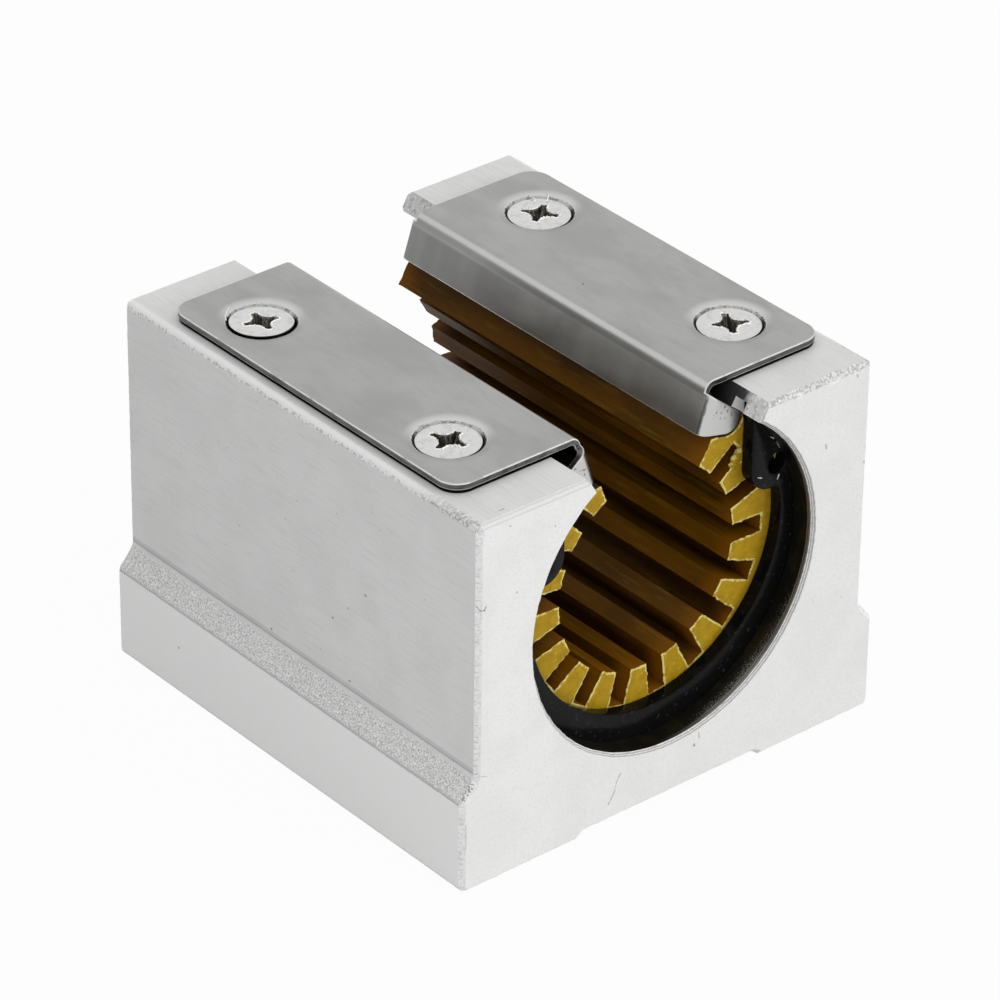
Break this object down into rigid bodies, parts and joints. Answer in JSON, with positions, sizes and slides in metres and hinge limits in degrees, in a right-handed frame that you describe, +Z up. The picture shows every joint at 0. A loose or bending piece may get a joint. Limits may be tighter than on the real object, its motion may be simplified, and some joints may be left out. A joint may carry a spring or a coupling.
{
  "type": "linear bearing block",
  "caption": "Open linear bearing block for a supported round rail: slotted aluminium housing, ribbed plastic liner held by retaining rings, and steel covers screwed over the slot's edges.",
  "frame": {"origin": "centre of the mounting face, on the plane the block stands on", "axes": "+Y along the bore to the rear, +Z up from the mounting face towards the slot, +X to the right seen from the front"},
  "size_m": [0.06, 0.062, 0.0472],
  "materials": {
    "housing_aluminium": "sawn and milled matte silver, fine grain, bright broken edges",
    "liner_plastic": "mustard yellow engineering plastic, cut faces lighter and slightly ragged",
    "ring_black": "black oxide, slightly glossy",
    "cover_steel": "mill finished stainless sheet, fine grain along its length",
    "screw_nickel": "bright nickel plate with chewed recess edges"
  },
  "bodies": {
    "root": {"housing": "housing_aluminium", "liner": "liner_plastic", "retaining_ring_front": "ring_black", "retaining_ring_rear": "ring_black", "cover_left": "cover_steel", "cover_right": "cover_steel", "cover_screw_front_left": "screw_nickel", "cover_screw_front_right": "screw_nickel", "cover_screw_rear_left": "screw_nickel", "cover_screw_rear_right": "screw_nickel"}
  },
  "joints": []
}
